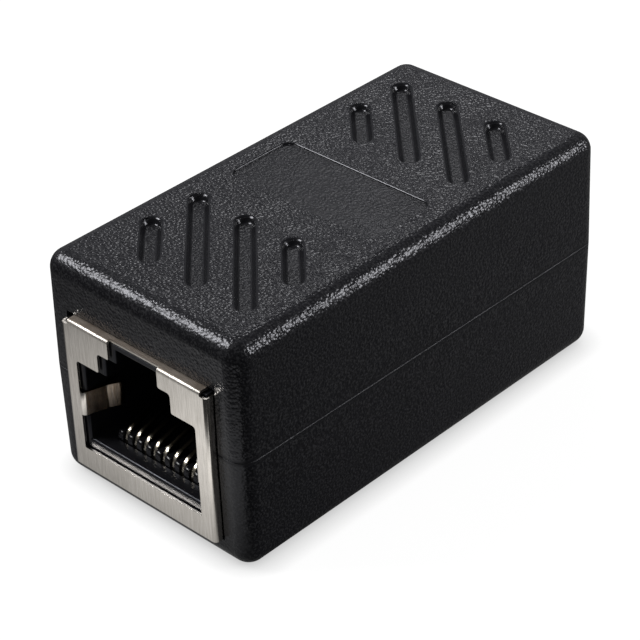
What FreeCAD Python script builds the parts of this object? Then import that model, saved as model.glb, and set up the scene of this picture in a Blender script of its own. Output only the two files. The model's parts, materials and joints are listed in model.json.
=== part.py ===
import FreeCAD, Part
import math
import os
from FreeCAD import Vector

# A shielded 8-pole inline coupler: two jacks, back to back under one board, in a two-part moulded box.
# Millimetres. X runs across the ports, Y along the box, Z up; the origin is the middle of the underside.
# Every size outwards from the port follows from the port, the walls round it and the fits between them.

# Port: the moulded cavity that takes the plug, with its latch channel above
port_width = 11.8
port_height = 6.75
port_depth = 11.15
latch_step_width = 6.9
latch_step_height = 1.7
latch_width = 4.4
latch_height = 1.25
mouth_radius = 0.25

# Jack body: the moulded block round the port
body_wall = 1.48
floor_thickness = 2.45
body_roof = 0.55
rear_length = 4.49
body_setback = 0.12

# Shield: one folded sheet round the jack body
sheet = 0.2
body_fit = 0.07
bend_radius = 0.15
fold_radius = 0.05
window_lap = 0.4
window_sill = 1.89
window_corner = 0.3
sill_corner = 0.1
bridge_depth = 0.35
fold_half_width = 6.95
fold_length = 5.0
corner_relief = 0.4
seam_gap = 0.3
leg_width = 1.0
leg_setback = 8.6

# Spring fingers of the shield, which touch the plug's own shield
finger_height = 2.05
finger_floor = 2.2
finger_bend = 0.3
finger_start = 0.2
finger_lead = 2.0
finger_lean = 0.75
finger_knee = 2.95
finger_bow = 1.28
finger_reach = 3.35
finger_turn = 1.1
finger_room = 0.12

# Contacts: bent flat wires that loop over the front of the carrier
contact_count = 8
contact_pitch = 1.016
contact_width = 0.35
contact_thickness = 0.25
contact_setback = 1.8
contact_bend = 0.9
contact_rise = 1.0
contact_slope = 17.0
contact_fit = 0.06
tail_height = 0.8
tail_rows = (1.3, 2.7)

# Carrier and wire guide: the inserts that hold the contacts under and behind the port
carrier_slab = 0.8
comb_depth = 1.0
nose_length = 2.0
nose_reach = 0.12
nose_radius = 0.3
nose_drop = 0.17

# Board that carries both jacks
board_thickness = 1.6
board_fit = 0.1
board_end = 4.3
tail_hole = 0.9
hole_sides = 8
leg_hole_room = 0.15

# Housing
wall = 1.5
edge_radius = 1.5
inner_radius = 0.6
draft = 0.1
parting_share = 0.5
parting_bevel = 0.04
shield_proud = 0.7
rib = 1.0
rail_height = 0.55
jack_fit = 0.1
tail_room = 0.35
middle_space = 9.24
lip_wall = 0.8
lip_height = 1.0
lip_fit = 0.05
post_radius = 2.0
post_taper = 0.3
peg_radius = 1.1
peg_length = 3.0
peg_fit = 0.1
stop_height = 8.0

# Outside of the upper half: a shallow label field and two groups of slanting blind slots
label_length = 14.9
label_width = 6.6
label_radius = 0.9
label_depth = 0.18
label_bevel = 0.08
slot_count = 4
slot_width = 1.6
slot_floor_width = 1.0
slot_depth = 0.55
slot_pitch = 3.48
slot_field_width = 14.54
slot_field_length = 9.14
slot_field_end = 8.69

# Sizes that follow from those above
body_width = port_width + 2 * body_wall
jack_width = body_width + 2 * (body_fit + sheet)
port_total = port_height + latch_step_height + latch_height
body_height = floor_thickness + port_total + body_roof
jack_height = body_height + 2 * (body_fit + sheet)
body_length = port_depth + rear_length
jack_depth = sheet + body_setback + body_length + body_fit + sheet

housing_width = jack_width + 2 * (jack_fit + rib + wall)
housing_length = 2 * (jack_depth - shield_proud) + middle_space
jack_bottom = wall + rail_height + jack_fit
jack_top = jack_bottom + jack_height
board_bottom = jack_top + board_fit
board_top = board_bottom + board_thickness
tail_top = board_top + tail_height
ceiling = tail_top + tail_room
housing_height = ceiling + wall
parting = housing_height * parting_share

jack_front = -(housing_length / 2 + shield_proud)
jack_rear = jack_front + jack_depth
body_front = jack_front + sheet + body_setback
body_rear = body_front + body_length
port_rear = body_front + port_depth
body_bottom = jack_bottom + sheet + body_fit
port_floor = body_bottom + floor_thickness
contact_front = jack_front + contact_setback
contact_crest = port_floor + contact_rise
slab_top = body_bottom + carrier_slab
nose_front = contact_front - nose_reach
nose_half = (contact_count + 0.5) * contact_pitch / 2
far = housing_length


def box(x_low, x_high, y_low, y_high, z_low, z_high):
    corner = Vector(x_low, y_low, z_low)
    return Part.makeBox(x_high - x_low, y_high - y_low, z_high - z_low, corner)


# A closed outline through points; each corner is rounded by its own radius, or sharp at zero
def rounded_outline(points, radii):
    edges = []
    ends = []
    for index, corner in enumerate(points):
        before = (points[index - 1] - corner).normalize()
        after = (points[(index + 1) % len(points)] - corner).normalize()
        half_angle = before.getAngle(after) / 2
        reach = radii[index] / math.tan(half_angle)
        start = corner + before * reach
        end = corner + after * reach
        if radii[index] > 0:
            inward = (before + after).normalize()
            centre = corner + inward * (radii[index] / math.sin(half_angle))
            middle = centre - inward * radii[index]
            edges.append(Part.Arc(start, middle, end).toShape())
        ends.append((start, end))
    for index in range(len(points)):
        start = ends[index - 1][1]
        end = ends[index][0]
        edges.append(Part.makeLine(start, end))
    return Part.Wire(Part.__sortEdges__(edges))


def rounded_rectangle(width, length, radius, z, centre_x=0.0, centre_y=0.0):
    corners = []
    for side_x, side_y in ((-1, -1), (1, -1), (1, 1), (-1, 1)):
        corners.append(Vector(centre_x + side_x * width / 2, centre_y + side_y * length / 2, z))
    return rounded_outline(corners, [radius] * len(corners))


def prism(outline, direction):
    return Part.Face(outline).extrude(direction)


# A strip of constant thickness, bent along a path in one plane, and as wide as the given vector.
# The path is the strip's middle; a corner's radius is measured to that middle.
def bent_strip(path, radii, thickness, width):
    sides = ([], [])
    for side, sign in zip(sides, (1, -1)):
        offset = sign * thickness / 2
        previous = None
        for index in range(len(path)):
            if index in (0, len(path) - 1):
                neighbour = path[1] - path[0] if index == 0 else path[-1] - path[-2]
                along = neighbour.normalize()
                across = width.cross(along).normalize()
                point = path[index] + across * offset
                if previous is not None:
                    side.append(Part.makeLine(previous, point))
                previous = point
                continue
            before = (path[index - 1] - path[index]).normalize()
            after = (path[index + 1] - path[index]).normalize()
            half_angle = before.getAngle(after) / 2
            radius = radii[index - 1]
            inward = (before + after).normalize()
            centre = path[index] + inward * (radius / math.sin(half_angle))
            across = width.cross(after).normalize()
            turn = 1 if across.dot(inward) > 0 else -1
            arc_radius = radius - turn * offset
            reach = radius / math.tan(half_angle)
            start = centre + (path[index] + before * reach - centre).normalize() * arc_radius
            end = centre + (path[index] + after * reach - centre).normalize() * arc_radius
            side.append(Part.makeLine(previous, start))
            side.append(Part.Arc(start, centre - inward * arc_radius, end).toShape())
            previous = end
    first, second = sides
    caps = []
    for end in (0, -1):
        vertex = 0 if end == 0 else -1
        caps.append(Part.makeLine(first[end].Vertexes[vertex].Point, second[end].Vertexes[vertex].Point))
    outline = Part.Wire(Part.__sortEdges__(first + second + caps))
    return prism(outline, width)


def turned(shape):
    copy = shape.copy()
    copy.rotate(Vector(0, 0, 0), Vector(0, 0, 1), 180)
    return copy


def contact_place(index):
    return (index - (contact_count - 1) / 2) * contact_pitch


# Stepped outline of the port or of the shield's window, grown by the given lap at its sides and steps
def stepped_outline(y, z_low, z_top, lap=0.0, low_radius=0.0, radius=0.0):
    half_main = port_width / 2 + lap
    half_step = latch_step_width / 2 + lap
    half_latch = latch_width / 2 + lap
    z_main = port_floor + port_height + lap
    z_step = z_main + latch_step_height
    right = [
        Vector(half_main, y, z_low),
        Vector(half_main, y, z_main),
        Vector(half_step, y, z_main),
        Vector(half_step, y, z_step),
        Vector(half_latch, y, z_step),
        Vector(half_latch, y, z_top),
    ]
    left = [Vector(-point.x, point.y, point.z) for point in reversed(right)]
    half_radii = [low_radius, radius, radius / 2, radius, radius / 2, 0.0]
    return rounded_outline(right + left, half_radii + half_radii[::-1])


# ---- Contacts ----

# One wire: a tail up through the board, a run along the carrier, a loop, and the free arm in the port
def contact(index):
    x_low = contact_place(index) - contact_width / 2
    run_z = slab_top + contact_fit + contact_thickness / 2
    tail_y = body_rear - tail_rows[index % 2]
    loop_y = contact_front + contact_thickness / 2
    loop_z = contact_crest - contact_thickness / 2
    tip_y = port_rear + comb_depth - 2 * contact_fit
    tip_z = loop_z + (tip_y - loop_y) * math.tan(math.radians(contact_slope))
    path = [
        Vector(x_low, tail_y, tail_top),
        Vector(x_low, tail_y, run_z),
        Vector(x_low, loop_y, run_z),
        Vector(x_low, loop_y, loop_z),
        Vector(x_low, tip_y, tip_z),
    ]
    radii = [contact_thickness, contact_bend, contact_bend]
    return bent_strip(path, radii, contact_thickness, Vector(contact_width, 0, 0))


# ---- Carrier ----

# A slab under the port, with a comb near its front that the loops stand in
def carrier():
    half = port_width / 2 - body_fit
    slab = box(-half, half, nose_front, body_rear, body_bottom, slab_top)
    nose_top = contact_crest - nose_drop
    nose_rear = nose_front + nose_length
    nose = box(-nose_half, nose_half, nose_front, nose_rear, body_bottom, nose_top)
    nose = nose.makeFillet(nose_radius, [edge for edge in nose.Edges if on_nose(edge)])
    shape = slab.fuse(nose)
    slot_half = contact_width / 2 + contact_fit
    for index in range(contact_count):
        x = contact_place(index)
        shape = shape.cut(box(x - slot_half, x + slot_half, nose_front, nose_rear, slab_top, nose_top))
    return shape.removeSplitter()


# The upper front edge of the comb's block
def on_nose(edge):
    middle = edge.CenterOfMass
    at_top = abs(middle.z - (contact_crest - nose_drop)) < 1e-6
    return at_top and abs(middle.y - nose_front) < 1e-6


# The block that closes the back of the port: the wires pass under it, and its grooves guide their free ends
def wire_guide():
    half = port_width / 2 - body_fit
    front = port_rear + body_fit
    rear = body_rear - tail_rows[-1] - contact_thickness
    shape = box(-half, half, front, rear, slab_top, jack_top - sheet - body_fit)
    run_top = slab_top + contact_thickness + 2 * contact_fit
    shape = shape.cut(box(-nose_half, nose_half, front, rear, slab_top, run_top))
    slot_half = contact_width / 2 + contact_fit
    groove_rear = port_rear + comb_depth
    groove_top = port_floor + port_height
    for index in range(contact_count):
        x = contact_place(index)
        groove = box(x - slot_half, x + slot_half, front, groove_rear, contact_crest, groove_top)
        shape = shape.cut(groove)
    return shape


# ---- Jack body ----

def finger_low():
    return port_floor + finger_floor


# The outer edges that lie inside a bend of the shield, along the bottom and at the rear
def in_a_bend(edge):
    middle = edge.CenterOfMass
    at_side = abs(abs(middle.x) - body_width / 2) < 1e-6
    at_bottom = abs(middle.z - body_bottom) < 1e-6
    at_rear = abs(middle.y - body_rear) < 1e-6
    return at_side and (at_bottom or at_rear)


def jack_body():
    half = body_width / 2
    half_port = port_width / 2
    body_top = body_bottom + body_height
    shape = box(-half, half, body_front, body_rear, body_bottom, body_top)
    shape = shape.makeFillet(bend_radius, [edge for edge in shape.Edges if in_a_bend(edge)])
    mouth = stepped_outline(body_front, port_floor, port_floor + port_total)
    shape = shape.cut(prism(mouth, Vector(0, port_depth, 0)))
    shape = shape.cut(box(-half_port, half_port, port_rear, body_rear, body_bottom, body_top))
    slab_front = nose_front - body_fit
    run_top = slab_top + contact_thickness + 2 * contact_fit
    shape = shape.cut(box(-half_port, half_port, slab_front, port_rear, body_bottom, run_top))
    nose_room = nose_half + body_fit
    nose_rear = nose_front + nose_length + body_fit
    shape = shape.cut(box(-nose_room, nose_room, slab_front, nose_rear, body_bottom, port_floor))
    pocket_low = finger_low() - finger_room
    pocket_high = finger_low() + finger_height + finger_room
    pocket_half = half_port + window_lap + finger_room
    pocket_rear = jack_front + finger_reach + 2 * finger_room
    shape = shape.cut(box(-pocket_half, pocket_half, body_front, pocket_rear, pocket_low, pocket_high))
    return round_mouth(shape.removeSplitter())


# The front edges of the port are rounded, apart from where the finger pockets break them
def round_mouth(shape):
    edges = []
    for edge in shape.Edges:
        ends = [vertex.Point for vertex in edge.Vertexes]
        on_front = all(abs(point.y - body_front) < 1e-6 for point in ends)
        on_port = all(
            abs(point.x) < port_width / 2 + 1e-6 and port_floor - 1e-6 < point.z for point in ends
        )
        if on_front and on_port:
            edges.append(edge)
    return shape.makeFillet(mouth_radius, edges)


# ---- Shield ----

def sheet_ring():
    outer = rounded_rectangle(
        jack_width, jack_depth, bend_radius + sheet, jack_bottom, 0.0, (jack_front + jack_rear) / 2
    )
    inner = rounded_rectangle(
        jack_width - 2 * sheet,
        jack_depth - 2 * sheet,
        bend_radius,
        jack_bottom,
        0.0,
        (jack_front + jack_rear) / 2,
    )
    height = Vector(0, 0, jack_height - corner_relief)
    return prism(outer, height).cut(prism(inner, height))


# The fold along the top edge of the front plate, which runs back over the jack body
def top_fold():
    middle_y = jack_front + sheet / 2
    middle_z = jack_top - sheet / 2
    path = [
        Vector(-fold_half_width, middle_y, jack_top - 2 * corner_relief),
        Vector(-fold_half_width, middle_y, middle_z),
        Vector(-fold_half_width, jack_front + fold_length, middle_z),
    ]
    return bent_strip(path, [fold_radius + sheet / 2], sheet, Vector(2 * fold_half_width, 0, 0))


# The floor of the shield: a flange from each side wall, meeting at a seam in the middle
def floor_flange(side):
    y_low = jack_front + 3 * bend_radius + sheet
    y_high = jack_rear - 3 * bend_radius - sheet
    middle_x = side * (jack_width / 2 - sheet / 2)
    middle_z = jack_bottom + sheet / 2
    path = [
        Vector(middle_x, y_low, jack_bottom + 2 * (bend_radius + sheet)),
        Vector(middle_x, y_low, middle_z),
        Vector(side * seam_gap / 2, y_low, middle_z),
    ]
    return bent_strip(path, [bend_radius + sheet / 2], sheet, Vector(0, y_high - y_low, 0))


# A finger, folded back from the window's edge, bowed into the port and turned out again at its tip
def finger(side):
    edge_x = port_width / 2 + window_lap
    path = [
        (edge_x + finger_bend + sheet, sheet / 2),
        (edge_x - finger_start, sheet / 2),
        (edge_x - finger_lean, finger_lead),
        (edge_x - finger_bow, finger_knee),
        (edge_x - finger_turn, finger_reach),
    ]
    points = [Vector(side * x, jack_front + depth, finger_low()) for x, depth in path]
    radii = [finger_bend, 2 * finger_bend, finger_bend]
    return bent_strip(points, radii, sheet, Vector(0, 0, finger_height))


def shield():
    shape = sheet_ring()
    reach = bend_radius + sheet
    flange_low = jack_front + 3 * bend_radius + sheet
    flange_high = jack_rear - 3 * bend_radius - sheet
    for side in (-1, 1):
        outside = side * jack_width / 2
        inside = side * (jack_width / 2 - sheet)
        x_low, x_high = sorted((outside, inside))
        shape = shape.cut(box(x_low, x_high, flange_low, flange_high, jack_bottom, jack_bottom + reach))
        shape = shape.fuse(floor_flange(side))
        leg_y = jack_front + leg_setback
        leg_low = jack_top - corner_relief - sheet
        shape = shape.fuse(box(x_low, x_high, leg_y, leg_y + leg_width, leg_low, tail_top))
    shape = shape.fuse(top_fold())
    sill = jack_bottom + window_sill
    window = stepped_outline(jack_front, sill, jack_top, window_lap, sill_corner, window_corner)
    shape = shape.cut(prism(window, Vector(0, bridge_depth, 0)))
    seam_x = -(jack_width / 2 - reach)
    shape = shape.cut(box(seam_x, seam_x + seam_gap, jack_rear - sheet, jack_rear, jack_bottom, jack_top))
    root_low = finger_low()
    for side in (-1, 1):
        edge_x = side * (port_width / 2 + window_lap)
        root_x = edge_x + side * (finger_bend + sheet)
        x_low, x_high = sorted((edge_x, root_x))
        root = box(x_low, x_high, jack_front, jack_front + sheet, root_low, root_low + finger_height)
        shape = shape.cut(root).fuse(finger(side))
    return shape.removeSplitter()


# ---- Board ----

# Flat sides stand for a round hole, because its tail hides it
def hole_for_tail(x, y):
    corners = []
    for corner in range(hole_sides + 1):
        turn = math.tau * (corner + 0.5) / hole_sides
        corners.append(Vector(x + tail_hole / 2 * math.cos(turn), y + tail_hole / 2 * math.sin(turn), 0))
    outline = Part.makePolygon(corners)
    outline.translate(Vector(0, 0, board_bottom))
    return prism(outline, Vector(0, 0, board_thickness))


def board():
    half = housing_width / 2 - draft - wall - jack_fit * 2
    end = housing_length / 2 - board_end
    outline = rounded_rectangle(2 * half, 2 * end, inner_radius, board_bottom)
    shape = prism(outline, Vector(0, 0, board_thickness))
    holes = []
    for index in range(contact_count):
        holes.append(hole_for_tail(contact_place(index), body_rear - tail_rows[index % 2]))
    leg_x = jack_width / 2 - sheet / 2
    leg_y = jack_front + leg_setback + leg_width / 2
    for side in (-1, 1):
        slot = rounded_rectangle(
            sheet + 2 * leg_hole_room,
            leg_width + 2 * leg_hole_room,
            leg_hole_room,
            board_bottom,
            side * leg_x,
            leg_y,
        )
        holes.append(prism(slot, Vector(0, 0, board_thickness)))
    for hole in holes:
        shape = shape.cut(hole).cut(turned(hole))
    for x in post_places():
        place = Vector(x, 0, board_bottom)
        shape = shape.cut(Part.makeCylinder(peg_radius + peg_fit, board_thickness, place))
    return shape


# ---- Housing ----

def post_places():
    reach = jack_width / 2 - post_radius - post_taper
    return (-reach, reach)


def at_parting(edge):
    return all(abs(vertex.Z - parting) < 1e-6 for vertex in edge.Vertexes)


# One half's outside, widest at the parting plane, with every edge away from it rounded
def half_outside(z_outside):
    outlines = []
    for z, lean in ((parting, 0.0), (z_outside, draft)):
        outlines.append(rounded_rectangle(housing_width - 2 * lean, housing_length - 2 * lean, 0.0, z))
    block = Part.makeLoft(outlines, True, True)
    return block.makeFillet(edge_radius, [edge for edge in block.Edges if not at_parting(edge)])


# One half's hollow, a wall's thickness inside it
def half_hollow(z_inside):
    outlines = []
    for z, lean in ((parting, 0.0), (z_inside, draft)):
        inset = 2 * (wall + lean)
        outlines.append(rounded_rectangle(housing_width - inset, housing_length - inset, inner_radius, z))
    return Part.makeLoft(outlines, True, True)


# What a small bevel takes off the outer edge where the halves meet, which shows as the parting line
def parting_trim(z_outside):
    rise = math.copysign(2 * parting_bevel, z_outside - parting)
    room = rounded_rectangle(housing_width + rib, housing_length + rib, 0.0, parting)
    outlines = []
    for z, growth in ((parting, -parting_bevel), (parting + rise, parting_bevel)):
        width = housing_width + 2 * growth
        length = housing_length + 2 * growth
        outlines.append(rounded_rectangle(width, length, edge_radius + growth, z))
    return prism(room, Vector(0, 0, rise)).cut(Part.makeLoft(outlines, True, True))


def half_shell(z_outside, z_inside):
    return half_outside(z_outside).cut(parting_trim(z_outside)).cut(half_hollow(z_inside))


# The windows in both end walls, which the shields stand out of
def windows():
    half = jack_width / 2 + jack_fit
    return box(-half, half, -far, far, jack_bottom - jack_fit, jack_top + jack_fit)


def lip_ring(offset, z_low, z_high):
    outer = rounded_rectangle(housing_width - 2 * offset, housing_length - 2 * offset, inner_radius, z_low)
    inner = rounded_rectangle(housing_width - 2 * wall, housing_length - 2 * wall, inner_radius, z_low)
    height = Vector(0, 0, z_high - z_low)
    return prism(outer, height).cut(prism(inner, height))


def side_rib(side, y, z_low, z_high):
    inside = jack_width / 2 + jack_fit
    outside = housing_width / 2 - wall / 2
    x_low, x_high = sorted((side * inside, side * outside))
    return box(x_low, x_high, y - rib / 2, y + rib / 2, z_low, z_high)


def rib_rows():
    front_row = housing_length / 2 - wall - 1.2 * rib
    rear_row = front_row - (jack_depth - shield_proud) / 2
    return front_row, rear_row


def lower_shell():
    shape = half_shell(0.0, wall)
    rebate = lip_ring(lip_wall, parting - lip_height - lip_fit, parting)
    additions = []
    front_row, rear_row = rib_rows()
    for side in (-1, 1):
        for row in (-front_row, -rear_row, rear_row, front_row):
            additions.append(side_rib(side, row, wall / 2, parting - lip_height - lip_fit))
        for end in (-1, 1):
            rail_low, rail_high = sorted((end * -jack_rear, end * (housing_length / 2 - wall / 2)))
            rail_x = side * port_width / 4
            rail = box(rail_x - rib / 2, rail_x + rib / 2, rail_low, rail_high, wall / 2, wall + rail_height)
            additions.append(rail)
    for end in (-1, 1):
        y_low, y_high = sorted((end * (-jack_rear - jack_fit), end * (-jack_rear - jack_fit - rib)))
        half = jack_width / 2
        additions.append(box(-half, half, y_low, y_high, wall / 2, wall + stop_height))
    post_top = board_bottom - board_fit
    for x in post_places():
        place = Vector(x, 0, wall / 2)
        additions.append(Part.makeCone(post_radius + post_taper, post_radius, post_top - wall / 2, place))
    shape = shape.multiFuse(additions)
    for x in post_places():
        place = Vector(x, 0, post_top - peg_length - peg_fit)
        shape = shape.cut(Part.makeCylinder(peg_radius + peg_fit / 2, peg_length + peg_fit, place))
    shape = shape.cut(rebate).cut(windows())
    return shape.removeSplitter()


def upper_shell():
    shape = half_shell(housing_height, ceiling)
    lip = lip_ring(lip_wall + lip_fit, parting - lip_height, parting + lip_height)
    additions = [lip]
    front_row = rib_rows()[0]
    for side in (-1, 1):
        for row in (-front_row, front_row):
            additions.append(side_rib(side, row, parting, ceiling + wall / 2))
    post_bottom = board_top + board_fit
    peg_bottom = board_bottom - board_fit - peg_length
    for x in post_places():
        post = Part.makeCylinder(post_radius, ceiling + wall / 2 - post_bottom, Vector(x, 0, post_bottom))
        peg = Part.makeCylinder(peg_radius, post_bottom - peg_bottom, Vector(x, 0, peg_bottom))
        additions += [post, peg]
    shape = shape.multiFuse(additions)
    shape = shape.cut(windows())
    shape = shape.cut(label_field())
    for slot in slots():
        shape = shape.cut(slot)
    return shape.removeSplitter()


# The label field with a small bevel along its rim
def label_field():
    rim = []
    floor = housing_height - label_depth
    for z, growth in ((housing_height - label_bevel, 0.0), (housing_height, label_bevel)):
        width = label_length + 2 * growth
        length = label_width + 2 * growth
        rim.append(rounded_rectangle(width, length, label_radius + growth, z))
    outline = rounded_rectangle(label_length, label_width, label_radius, floor)
    return prism(outline, Vector(0, 0, label_depth - label_bevel)).fuse(Part.makeLoft(rim, True, True))


# A round-ended outline about a centre, slanting at 45 degrees across the box
def slot_outline(centre, length, width, z):
    along = Vector(1, -1, 0).normalize()
    across = Vector(1, 1, 0).normalize()
    half = (length - width) / 2
    radius = width / 2
    middle = Vector(centre.x, centre.y, z)
    corners = [
        middle + along * half + across * radius,
        middle + along * half - across * radius,
        middle - along * half - across * radius,
        middle - along * half + across * radius,
    ]
    tips = [middle + along * (half + radius), middle - along * (half + radius)]
    edges = [
        Part.Arc(corners[0], tips[0], corners[1]).toShape(),
        Part.makeLine(corners[1], corners[2]),
        Part.Arc(corners[2], tips[1], corners[3]).toShape(),
        Part.makeLine(corners[3], corners[0]),
    ]
    return Part.Wire(edges)


# Each group fills a field of its own, whose straight edges end its slots
def slots():
    shapes = []
    diagonal = math.sqrt(2)
    taper = slot_width - slot_floor_width
    along = Vector(1, -1, 0).normalize()
    across = Vector(1, 1, 0).normalize()
    for end in (-1, 1):
        group = Vector(0, end * (housing_length / 2 - slot_field_end), 0)
        for index in range(slot_count):
            offset = (index - (slot_count - 1) / 2) * slot_pitch
            low = max(-slot_field_width / diagonal - offset, offset - slot_field_length / diagonal)
            high = min(slot_field_width / diagonal - offset, offset + slot_field_length / diagonal)
            centre = group + across * offset + along * ((low + high) / 2)
            rim = slot_outline(centre, high - low, slot_width, housing_height)
            floor = slot_outline(centre, high - low - taper, slot_floor_width, housing_height - slot_depth)
            shapes.append(Part.makeLoft([rim, floor], True, True))
    return shapes


def pieces():
    yield "upper_shell", upper_shell()
    yield "lower_shell", lower_shell()
    yield "circuit_board", board()
    for end, place in (("front", lambda shape: shape), ("rear", turned)):
        yield end + "_jack_shield", place(shield())
        yield end + "_jack_body", place(jack_body())
        yield end + "_contact_carrier", place(carrier())
        yield end + "_wire_guide", place(wire_guide())
        for index in range(contact_count):
            yield end + "_contact_" + str(index + 1), place(contact(index))


os.makedirs("parts", exist_ok=True)
for name, shape in pieces():
    shape.exportStep("parts/" + name + ".step")
    size = shape.BoundBox
    print(name, len(shape.Solids), shape.isValid(), round(shape.Volume, 2), size)
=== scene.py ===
import bmesh
import bpy
import json
import math
from mathutils import Matrix, Vector


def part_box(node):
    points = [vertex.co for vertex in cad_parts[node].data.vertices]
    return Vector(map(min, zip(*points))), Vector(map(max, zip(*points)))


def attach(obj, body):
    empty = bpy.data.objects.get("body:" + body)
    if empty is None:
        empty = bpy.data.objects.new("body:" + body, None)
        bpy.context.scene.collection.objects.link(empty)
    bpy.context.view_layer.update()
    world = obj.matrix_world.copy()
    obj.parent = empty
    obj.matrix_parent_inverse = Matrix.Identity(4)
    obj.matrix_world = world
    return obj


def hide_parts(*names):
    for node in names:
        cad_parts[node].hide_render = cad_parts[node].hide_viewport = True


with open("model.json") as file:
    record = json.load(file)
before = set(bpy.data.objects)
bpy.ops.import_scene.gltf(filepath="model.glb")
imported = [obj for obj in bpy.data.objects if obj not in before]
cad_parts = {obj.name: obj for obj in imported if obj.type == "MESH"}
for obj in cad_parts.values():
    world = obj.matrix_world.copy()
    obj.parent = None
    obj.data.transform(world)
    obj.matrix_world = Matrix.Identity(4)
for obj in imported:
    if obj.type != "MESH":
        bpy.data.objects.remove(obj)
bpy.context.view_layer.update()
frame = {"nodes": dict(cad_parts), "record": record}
nodes = frame["nodes"]
mm = 0.001
print("frame loaded:", len(nodes), "nodes")


class Value:
    # a shader socket that can be added, multiplied and so on, as a number can
    def __init__(self, shader, socket):
        self.shader = shader
        self.socket = socket

    def calc(self, operation, *others):
        inputs = dict(enumerate((self,) + others))
        return self.shader.make("ShaderNodeMath", {"operation": operation}, inputs)

    def __add__(self, other):
        return self.calc("ADD", other)

    def __sub__(self, other):
        return self.calc("SUBTRACT", other)

    def __mul__(self, other):
        return self.calc("MULTIPLY", other)

    def __truediv__(self, other):
        return self.calc("DIVIDE", other)

    def __rsub__(self, other):
        return self * -1 + other

    __radd__ = __add__
    __rmul__ = __mul__

    def __abs__(self):
        return self.calc("ABSOLUTE")

    def larger(self, other):
        return self.calc("MAXIMUM", other)

    def above(self, other):
        return self.calc("GREATER_THAN", other)

    def below(self, other):
        return self.calc("LESS_THAN", other)

    def between(self, low, high):
        # 0 below low, 1 above high, smooth in the middle
        settings = {"interpolation_type": "SMOOTHSTEP"}
        inputs = {"Value": self, "From Min": low, "From Max": high}
        return self.shader.make("ShaderNodeMapRange", settings, inputs)


class Shader:
    # the node tree of one material or of the world
    def __init__(self, owner, place="Object"):
        owner.use_nodes = True
        self.owner = owner
        self.tree = owner.node_tree
        self.tree.nodes.clear()
        self.place = self.make("ShaderNodeTexCoord", {}, {}, place)

    def make(self, kind, settings, inputs, output=0):
        node = self.tree.nodes.new(kind)
        for key, setting in settings.items():
            setattr(node, key, setting)
        for key, value in inputs.items():
            if isinstance(value, Value):
                self.tree.links.new(value.socket, node.inputs[key])
            elif isinstance(value, tuple) and node.inputs[key].type == "RGBA":
                node.inputs[key].default_value = (*value, 1.0)
            else:
                node.inputs[key].default_value = value
        if not node.outputs:
            return None
        return Value(self, node.outputs[output])

    def axes(self):
        return [self.make("ShaderNodeSeparateXYZ", {}, {0: self.place}, axis) for axis in range(3)]

    def noise(self, scale, detail=2.0, roughness=0.5, stretch=(1, 1, 1)):
        place = self.make("ShaderNodeMapping", {}, {"Vector": self.place, "Scale": stretch})
        inputs = {"Vector": place, "Scale": scale, "Detail": detail, "Roughness": roughness}
        return self.make("ShaderNodeTexNoise", {}, inputs, "Fac")

    def cells(self, scale, smoothness):
        inputs = {"Vector": self.place, "Scale": scale, "Smoothness": smoothness}
        return self.make("ShaderNodeTexVoronoi", {"feature": "SMOOTH_F1"}, inputs, "Distance")

    def mixColour(self, factor, first, second):
        # the colour sockets of the mix node are inputs 6 and 7 and output 2
        return self.make("ShaderNodeMix", {"data_type": "RGBA"}, {0: factor, 6: first, 7: second}, 2)

    def bump(self, height, distance, strength=1.0):
        inputs = {"Height": height, "Distance": distance, "Strength": strength}
        return self.make("ShaderNodeBump", {}, inputs)

    def ray(self, kind):
        return self.make("ShaderNodeLightPath", {}, {}, "Is " + kind + " Ray")

    def glow(self, colour, strength):
        return self.make("ShaderNodeEmission", {}, {"Color": colour, "Strength": strength})

    def finish(self, shader, kind="Material"):
        self.make("ShaderNodeOutput" + kind, {}, {"Surface": shader})
        return self.owner

    def coat(self, colour, rough, bump, look, metallic=0.0):
        # what all finishes of the pieces share; look may hold a weaker or tinted reflection
        inputs = {"Base Color": colour, "Roughness": rough, "Normal": bump, "Metallic": metallic}
        inputs["Specular IOR Level"] = look.get("specular", 0.5)
        inputs["Specular Tint"] = look.get("tint", (1.0, 1.0, 1.0))
        return self.finish(self.make("ShaderNodeBsdfPrincipled", {}, inputs))


def newShader(name):
    return Shader(bpy.data.materials.new(name))


# the slots and the label field are sunk into the top face, and are moulded smoother than the skin
sunkLook = {"x": 0.0086, "y": 0.0184, "low": 0.0185, "high": 0.01972, "slotFloor": 0.01923,
            "labelLow": 0.01953, "labelHigh": 0.01959}
# the skin is calmer on the end faces, at the rounded top rim and along the parting line: calm says
# how much of the bump is lost there, and satin, in the slots and the label field, gives some back
housingLook = {
    "low": (0.0045, 0.0045, 0.0053), "high": (0.007, 0.007, 0.0082), "broad": 160,
    "grain": (0.017, 0.017, 0.0185), "grainScale": 5600, "grainFrom": 0.46, "grainTo": 0.66,
    "speck": 4200, "speckSoft": 0.25, "speckTop": 0.6,
    "pebble": 1500, "pebbleWall": 0.2, "pebbleRise": 0.6, "wallTop": 0.0172, "edgeTop": 0.0185,
    "patch": 420, "patchFrom": 0.35, "patchTo": 0.65, "patchLow": 0.7, "patchRise": 0.3,
    "depth": 0.00006, "specular": 0.25, "tint": (0.93, 0.935, 1.0),
    "endFrom": 0.0190, "endTo": 0.0201, "partingFrom": 0.0001, "partingTo": 0.0004,
    "rimX": 0.0089, "rimY": 0.0188, "rimWide": 0.0005, "rimLow": 0.0182,
    "calm": {"sunk": 0.9, "satin": 0.5, "ends": 0.5, "rim": 0.2, "parting": 0.7},
    "roughness": {"base": 0.17, "broad": 0.06, "satin": 0.14, "rim": 0.06, "parting": 0.25},
}
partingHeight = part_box("lower_shell")[1][2]


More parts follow.
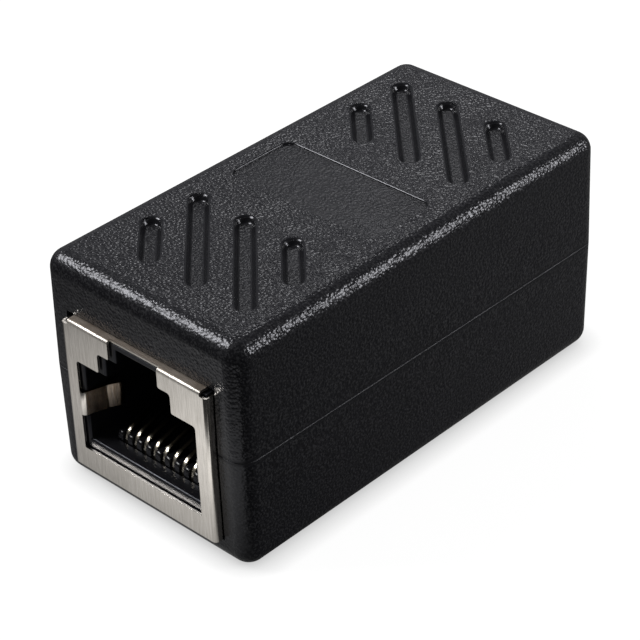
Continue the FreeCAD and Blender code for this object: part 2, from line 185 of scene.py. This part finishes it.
def housingPlastic():
    # pebbled skin with fine specks, and a paler grain in its tone
    look, calmer, rough = housingLook, housingLook["calm"], housingLook["roughness"]
    shader = newShader("blackHousing")
    x, y, z = shader.axes()
    within = abs(x).below(sunkLook["x"]) * abs(y).below(sunkLook["y"])
    sunk = within * z.above(sunkLook["low"]) * z.below(sunkLook["high"])
    label = z.above(sunkLook["labelLow"]) * z.below(sunkLook["labelHigh"])
    satin = sunk * z.below(sunkLook["slotFloor"]).larger(label)
    pebbles = shader.noise(look["pebble"], detail=0.0)
    specks = look["speckTop"] - shader.cells(look["speck"], look["speckSoft"])
    broad = shader.noise(look["broad"], detail=3.0)
    patches = shader.noise(look["patch"])
    patches = patches.between(look["patchFrom"], look["patchTo"])
    upper = z.between(look["wallTop"], look["edgeTop"])
    ends = abs(y).between(look["endFrom"], look["endTo"])
    rimX = abs(x).between(look["rimX"], look["rimX"] + look["rimWide"])
    rimY = abs(y).between(look["rimY"], look["rimY"] + look["rimWide"])
    rim = rimX.larger(rimY) * z.above(look["rimLow"])
    offParting = abs(z - partingHeight)
    parting = 1 - offParting.between(look["partingFrom"], look["partingTo"])
    calm = 1 - sunk * calmer["sunk"] + satin * calmer["satin"] - ends * calmer["ends"]
    calm = (calm - rim * calmer["rim"]) * (1 - parting * calmer["parting"])
    height = specks + pebbles * (upper * look["pebbleRise"] + look["pebbleWall"])
    height = height * calm * (look["patchLow"] + patches * look["patchRise"])
    tone = shader.mixColour(broad, look["low"], look["high"])
    grain = shader.noise(look["grainScale"], detail=1.0)
    grain = grain.between(look["grainFrom"], look["grainTo"])
    tone = shader.mixColour(grain * (1 - sunk) * (1 - parting), tone, look["grain"])
    roughness = rough["base"] + broad * rough["broad"] + satin * rough["satin"]
    roughness = roughness + rim * rough["rim"] + parting * rough["parting"]
    return shader.coat(tone, roughness, shader.bump(height, look["depth"]), look)


shieldLook = {
    "bright": (0.94, 0.89, 0.825), "dull": (0.60, 0.56, 0.505), "cloud": 420,
    "grain": 1500, "stretch": (6, 6, 0.35), "grainShare": 0.7, "streakFrom": 0.3, "streakTo": 0.7,
    "depth": 0.000012, "strength": 0.8,
    # painted shade on the top flange: its colour, and how much of it lies there
    "paintedFlangeShade": (0.15, 0.118, 0.092), "flangeShadeLow": 0.6, "flangeShadeRise": 0.5,
    "flangeHeight": 0.01534, "flangeStart": -0.02072, "blend": 0.00005,
    "foldFrom": 0.01495, "foldTo": 0.0152,
    # painted shade on the spring fingers inside the port: its colour, and how much of it lies there
    "finger": (0.38, 0.285, 0.20), "fingerLow": 0.6, "fingerRise": 0.4,
    "fingerSide": 0.0066, "fingerStart": 0.0206, "fingerTop": 0.0135,
    "roughness": {"base": 0.10, "grain": 0.14, "cloud": 0.05, "flange": 0.15, "fold": 0.25},
}


def shieldMetal():
    # drawn sheet with streaks up and down the face; the flange folded over the top edge has painted
    # shade, darker and browner like the dark housing face it mirrors, its fold is duller, and the
    # spring fingers in the port have painted shade, darker and browner
    look, rough = shieldLook, shieldLook["roughness"]
    shader = newShader("satinNickel")
    x, y, z = shader.axes()
    height, start, blend = look["flangeHeight"], look["flangeStart"], look["blend"]
    flange = z.between(height - blend, height + blend) * y.between(start - blend, start + blend)
    fold = z.between(look["foldFrom"], look["foldTo"])
    finger = abs(x).below(look["fingerSide"]) * abs(y).below(look["fingerStart"])
    finger = finger * z.below(look["fingerTop"])
    grain = shader.noise(look["grain"], 4.0, look["grainShare"], look["stretch"])
    cloud = shader.noise(look["cloud"], detail=3.0)
    streak = grain.between(look["streakFrom"], look["streakTo"])
    tone = shader.mixColour((streak + cloud) / 2, look["bright"], look["dull"])
    # painted shade: the top flange is darkened and browned, standing for the dark housing face it
    # mirrors
    paintedFlangeShade = flange * (look["flangeShadeLow"] + cloud * look["flangeShadeRise"])
    tone = shader.mixColour(paintedFlangeShade, tone, look["paintedFlangeShade"])
    # painted shade: the spring fingers inside the port are made darker and browner
    paintedFingerShade = finger * (look["fingerLow"] + streak * look["fingerRise"])
    tone = shader.mixColour(paintedFingerShade, tone, look["finger"])
    roughness = rough["base"] + grain * rough["grain"] + cloud * rough["cloud"]
    roughness = roughness + flange * rough["flange"] + fold * rough["fold"]
    bump = shader.bump(grain, look["depth"], look["strength"])
    return shader.coat(tone, roughness, bump, look, metallic=1.0)


jackLook = {"low": (0.0035, 0.0035, 0.0042), "high": (0.006, 0.006, 0.0072), "ripple": 1300,
            "fine": 9000, "fineShare": 0.2, "depth": 0.00004, "strength": 0.6,
            "rough": 0.22, "roughRise": 0.2, "specular": 0.22, "tint": (0.86, 0.88, 1.0)}
carrierLook = {"low": (0.003, 0.003, 0.0035), "high": (0.005, 0.005, 0.006), "ripple": 1500,
               "depth": 0.00002, "strength": 0.5, "rough": 0.2, "roughRise": 0.1, "specular": 0.25}


def insidePlastic(name, look):
    # rippled moulding, with a finer grain on top where the look has one
    shader = newShader(name)
    ripple = shader.noise(look["ripple"], detail=3.0)
    height = ripple
    if "fine" in look:
        height = ripple + shader.noise(look["fine"]) * look["fineShare"]
    bump = shader.bump(height, look["depth"], look["strength"])
    tone = shader.mixColour(ripple, look["low"], look["high"])
    return shader.coat(tone, look["rough"] + ripple * look["roughRise"], bump, look)


contactLook = {"bright": (0.80, 0.74, 0.62), "dull": (0.58, 0.52, 0.41),
               # painted shade: the wire behind the bend that meets the plug gets a near-black colour
               "riserShade": (0.055, 0.046, 0.032), "crestFrom": 0.0181, "crestTo": 0.0187,
               "draw": 4000, "drawShare": 0.6, "stretch": (6, 1, 1),
               "rough": 0.2, "roughRise": 0.08, "depth": 0.000004, "strength": 0.4}


def contactGold():
    # thin gold over nickel on the bend that meets the plug; the rest of the wire, rising into the
    # port, is painted near black: painted shade
    look = contactLook
    shader = newShader("goldFlash")
    draw = shader.noise(look["draw"], 3.0, look["drawShare"], look["stretch"])
    along = shader.axes()[1]
    # painted shade: away from the bend the wire is near black, gold only on the bend
    crestGold = abs(along).between(look["crestFrom"], look["crestTo"])
    gold = shader.mixColour(draw, look["bright"], look["dull"])
    tone = shader.mixColour(crestGold, look["riserShade"], gold)
    bump = shader.bump(draw, look["depth"], look["strength"])
    rough = look["rough"] + draw * look["roughRise"]
    return shader.coat(tone, rough, bump, look, metallic=1.0)


boardLook = {"low": (0.02, 0.11, 0.045), "high": (0.03, 0.15, 0.06), "weave": 2500, "rough": 0.3,
             "roughRise": 0.1, "depth": 0.00001, "strength": 0.4}


def boardLaminate():
    look = boardLook
    shader = newShader("greenBoard")
    weave = shader.noise(look["weave"])
    tone = shader.mixColour(weave, look["low"], look["high"])
    bump = shader.bump(weave, look["depth"], look["strength"])
    return shader.coat(tone, look["rough"] + weave * look["roughRise"], bump, look)


finishes = {
    "housing": housingPlastic(),
    "shield": shieldMetal(),
    "jack": insidePlastic("blackJack", jackLook),
    "carrier": insidePlastic("blackCarrier", carrierLook),
    "contact": contactGold(),
    "board": boardLaminate(),
}
slots = {part["node"]: part["material_slot"] for part in frame["record"]["subparts"]}
for name, slotName in slots.items():
    nodes[name].data.materials.clear()
    nodes[name].data.materials.append(finishes[slotName])
print("finishes set:", len(finishes))

# the radius along the sharp edges of each kind of piece, in metres; only the slots of the housing
# have its full radius, and its other edges a fine share of it
edgeLook = {
    "radius": {"housing": 0.00016, "shield": 0.000022, "jack": 0.00003, "carrier": 0.00004,
               "contact": 0.00003},
    "fine": 0.3, "labelEnd": 0.0035, "partingWide": 0.0003,
    "pocketStart": 0.0195, "pocketSide": 0.0086, "pocketTop": 0.0162,
    "sharp": math.radians(32), "flat": math.radians(0.6), "weld": 1e-6, "steps": 2,
}


def edgeShare(middle, slotName):
    # the parting line has a small bevel of its own, and the pocket that holds the plate stays sharp
    if slotName != "housing":
        return 1.0
    across, along = abs(middle.x), abs(middle.y)
    onParting = abs(middle.z - partingHeight) < edgeLook["partingWide"]
    inPocket = (along > edgeLook["pocketStart"] and across < edgeLook["pocketSide"]
                and middle.z < edgeLook["pocketTop"])
    if onParting or inPocket:
        return 0.0
    inSlots = (middle.z > sunkLook["low"] and across < sunkLook["x"]
               and edgeLook["labelEnd"] < along < sunkLook["y"])
    return 1.0 if inSlots else edgeLook["fine"]


def rounded(name, slotName):
    # the node's own shape with its sharp edges rounded, as moulding and stamping leave them
    mesh = nodes[name].data.copy()
    shape = bmesh.new()
    shape.from_mesh(mesh)
    bmesh.ops.remove_doubles(shape, verts=shape.verts, dist=edgeLook["weld"])
    flat = edgeLook["flat"]
    bmesh.ops.dissolve_limit(shape, angle_limit=flat, verts=shape.verts, edges=shape.edges)
    weights = shape.edges.layers.float.new("bevel_weight_edge")
    for edge in shape.edges:
        edge.smooth = True
        if edge.is_manifold and edge.calc_face_angle() > edgeLook["sharp"]:
            edge[weights] = edgeShare((edge.verts[0].co + edge.verts[1].co) / 2, slotName)
            edge.smooth = edge[weights] > 0
    shape.to_mesh(mesh)
    shape.free()
    piece = bpy.data.objects.new(name + "_edged", mesh)
    bpy.context.scene.collection.objects.link(piece)
    bevel = piece.modifiers.new("bevel", "BEVEL")
    bevel.width = edgeLook["radius"][slotName]
    bevel.segments = edgeLook["steps"]
    bevel.limit_method = "WEIGHT"
    bevel.harden_normals = True
    bevel.use_clamp_overlap = slotName != "housing"
    depsgraph = bpy.context.evaluated_depsgraph_get()
    piece.data = bpy.data.meshes.new_from_object(piece.evaluated_get(depsgraph))
    piece.modifiers.clear()
    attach(piece, "root")
    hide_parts(name)
    return len(piece.data.polygons)


edged = {name: slotName for name, slotName in slots.items() if slotName in edgeLook["radius"]}
faceCounts = [rounded(name, slotName) for name, slotName in edged.items()]
print("edges rounded:", len(faceCounts), "pieces,", sum(faceCounts), "faces")

# the camera stands off the front right corner and looks down at the middle of the box
cameraLook = {"azimuth": 44.58, "elevation": 33.86, "roll": -2.17, "distance": 181.0,
              "right": -1.03, "up": -0.53, "aimHeight": 8.39,
              "lens": 129.99, "sensor": 36, "nearest": 0.01}


def addCamera():
    turn, tilt, roll = (math.radians(cameraLook[key]) for key in ("azimuth", "elevation", "roll"))
    sideways, forward, upward = math.sin(turn), math.cos(turn), math.sin(tilt)
    back = Vector((sideways * math.cos(tilt), -forward * math.cos(tilt), upward))
    level = Vector((forward, sideways, 0))
    upright = back.cross(level)
    right = level * math.cos(roll) + upright * math.sin(roll)
    up = upright * math.cos(roll) - level * math.sin(roll)
    place = Vector((0, 0, cameraLook["aimHeight"])) + back * cameraLook["distance"]
    place = (place + right * cameraLook["right"] + up * cameraLook["up"]) * mm
    data = bpy.data.cameras.new("camera")
    data.lens = cameraLook["lens"]
    data.sensor_width = cameraLook["sensor"]
    data.clip_start = cameraLook["nearest"]
    camera = bpy.data.objects.new("camera", data)
    camera.matrix_world = Matrix((right, up, back)).transposed().to_4x4()
    camera.location = place
    bpy.context.scene.collection.objects.link(camera)
    bpy.context.scene.camera = camera


# every lamp hangs at one distance, in the direction given, and points at the middle of the object
lampLook = {
    "distance": 0.40, "aim": (0, 0, 0.01),
    "softboxes": {
        "frontKey": {"towards": (-0.583, -0.421, 0.694), "size": (0.14, 0.14), "power": 1.65},
        "rearStrip": {"towards": (0.710, 0.592, 0.382), "size": (0.15, 0.10), "power": 1.2},
        "rearSpot": {"towards": (-0.45, 0.55, 0.70), "size": (0.065, 0.065), "power": 0.12},
    },
}


def addSoftbox(name, look):
    place = Vector(look["towards"]).normalized() * lampLook["distance"]
    data = bpy.data.lights.new(name, "AREA")
    data.shape = "RECTANGLE"
    data.size, data.size_y = look["size"]
    data.energy = look["power"]
    light = bpy.data.objects.new(name, data)
    light.location = place
    light.rotation_euler = (Vector(lampLook["aim"]) - place).to_track_quat("-Z", "Y").to_euler()
    bpy.context.scene.collection.objects.link(light)


# what glossy surfaces see of the floor: a pool of light before the port, little beside the object
poolLook = {"x": 0.012, "y": -0.0325, "wide": 0.034, "deep": 0.011, "level": 1.0,
            "edge": 0.010, "edgeSoft": 0.004, "rest": 0.02,
            "far": 0.14, "farStart": -0.030, "farEnd": 0.034}
# painted contact shadow: contact and open set how far and how deep the floor's glow is dimmed near
# the object
floorLook = {"colour": (0.1, 0.1, 0.1), "glow": 0.93, "contact": 0.002, "open": 0.5,
             "half": 1.5, "height": -0.00002}
white = (1, 1, 1)


def poolLight(shader):
    x, y = shader.axes()[:2]
    across = (x - poolLook["x"]) / poolLook["wide"]
    along = (y - poolLook["y"]) / poolLook["deep"]
    spread = (across * across + along * along) * -1
    edge, soft = poolLook["edge"], poolLook["edgeSoft"]
    lit = (-1 * x - y).between(edge - soft, edge + soft)
    far = y.between(poolLook["farStart"], poolLook["farEnd"])
    pool = spread.calc("EXPONENT") * lit * poolLook["level"]
    return pool + far * poolLook["far"] + poolLook["rest"]


def addFloor():
    shader = newShader("paleFloor")
    plain = shader.make("ShaderNodeBsdfDiffuse", {}, {"Color": floorLook["colour"]})
    # painted contact shadow: the glow the camera sees on the floor is dimmed by ambient occlusion
    # near the object
    near = shader.make("ShaderNodeAmbientOcclusion", {}, {"Distance": floorLook["contact"]}, "AO")
    shade = near * (1 - floorLook["open"]) + floorLook["open"]
    glow = shader.glow(white, shader.ray("Camera") * shade * floorLook["glow"])
    straight = shader.make("ShaderNodeAddShader", {}, {0: plain, 1: glow})
    reflected = shader.glow(white, poolLight(shader))
    inputs = {0: shader.ray("Glossy"), 1: straight, 2: reflected}
    both = shader.make("ShaderNodeMixShader", {}, inputs)
    mesh = bpy.data.meshes.new("floor")
    half, height = floorLook["half"], floorLook["height"]
    corners = [(x * half, y * half, height) for x, y in ((-1, -1), (1, -1), (1, 1), (-1, 1))]
    mesh.from_pydata(corners, [], [(0, 1, 2, 3)])
    mesh.materials.append(shader.finish(both))
    floor = bpy.data.objects.new("floor", mesh)
    bpy.context.scene.collection.objects.link(floor)


# the pale backdrop stands behind the object, to the left, and only glossy surfaces see it
backdropLook = {"towards": (-0.55, 0.56, 0.62), "inner": 0.45, "outer": 0.95, "level": 0.30,
                "rest": 0.04, "ambient": 0.5, "colour": (0.93, 0.935, 1.0)}


def addWorld():
    world = bpy.data.worlds.new("studio")
    bpy.context.scene.world = world
    shader = Shader(world, "Generated")
    seen, through, mirrored = (shader.ray(kind) for kind in ("Camera", "Transmission", "Glossy"))
    towards = tuple(Vector(backdropLook["towards"]).normalized())
    inputs = {0: shader.place, 1: towards}
    facing = shader.make("ShaderNodeVectorMath", {"operation": "DOT_PRODUCT"}, inputs, "Value")
    backdrop = facing.between(backdropLook["inner"], backdropLook["outer"]) * backdropLook["level"]
    reflected = mirrored * (backdrop + backdropLook["rest"])
    ambient = (1 - mirrored) * backdropLook["ambient"]
    strength = seen.larger(through).larger(reflected).larger(ambient)
    colour = shader.mixColour(mirrored, white, backdropLook["colour"])
    glow = shader.make("ShaderNodeBackground", {}, {"Color": colour, "Strength": strength})
    shader.finish(glow, "World")


addCamera()
for name, look in lampLook["softboxes"].items():
    addSoftbox(name, look)
addFloor()
addWorld()
bpy.context.scene.view_settings.view_transform = "Standard"
print("camera, lamps and floor set")
